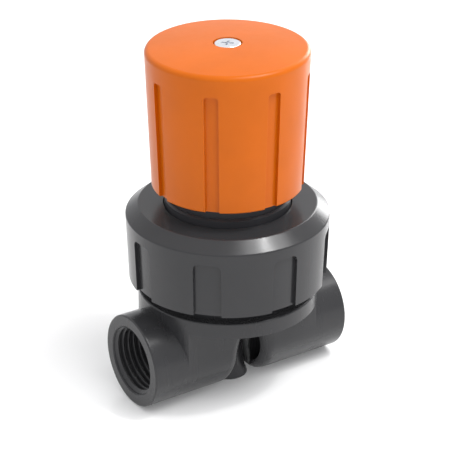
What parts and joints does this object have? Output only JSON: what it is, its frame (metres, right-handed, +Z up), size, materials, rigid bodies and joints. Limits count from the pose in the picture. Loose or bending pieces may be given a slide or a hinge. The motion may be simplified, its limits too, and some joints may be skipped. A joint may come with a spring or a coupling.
{
  "type": "diaphragm valve",
  "caption": "Hand-operated plastic diaphragm valve with in-line female threaded ports, a grooved union nut and a tall bell-shaped handwheel.",
  "frame": {"origin": "on the spindle's axis, in the plane that the valve stands on", "axes": "+Z up along the spindle, +X along the flow from the inlet port to the outlet port"},
  "size_m": [0.068, 0.06, 0.1064],
  "materials": {
    "body_plastic": "dark iron-grey moulded plastic, satin to glossy",
    "nut_plastic": "dark iron-grey moulded plastic, satin to glossy",
    "bonnet_plastic": "dark grey moulded plastic, satin",
    "handwheel_plastic": "orange moulded plastic, satin",
    "slide_plastic": "white sliding plastic",
    "rubber": "black rubber",
    "brass": "machined",
    "steel": "turned stainless steel",
    "spring_steel": "oiled spring steel",
    "zinc": "bright zinc plate"
  },
  "bodies": {
    "body": {"body": "body_plastic", "base_insert": "brass", "union_nut": "nut_plastic", "slip_ring": "slide_plastic", "bonnet": "bonnet_plastic", "spindle_nut": "brass", "stem_seal": "rubber", "gland_ring": "slide_plastic", "skirt_seal": "rubber", "diaphragm": "rubber"},
    "carriage": {"diaphragm_stud": "steel", "compressor": "bonnet_plastic", "compressor_insert": "brass", "lower_thrust_washer": "slide_plastic", "upper_thrust_washer": "slide_plastic", "retaining_ring": "spring_steel"},
    "handwheel_set": {"spindle": "steel", "handwheel_insert": "brass", "handwheel": "handwheel_plastic", "flat_washer": "zinc", "lock_washer": "zinc", "handwheel_screw": "zinc"}
  },
  "joints": [
    {"name": "lift", "type": "slide", "parent": "body", "child": "carriage", "axis": [0, 0, 1], "range_m": [-0.0055, 0], "deforming": ["diaphragm"]},
    {"name": "turn", "type": "hinge", "parent": "carriage", "child": "handwheel_set", "pos_m": [0, 0, 0.08], "axis": [0, 0, 1], "range_deg": [-990, 0]}
  ],
  "couplings": [
    {"joint": "lift", "follows": "turn", "m_per_rad": 0.00031831}
  ]
}
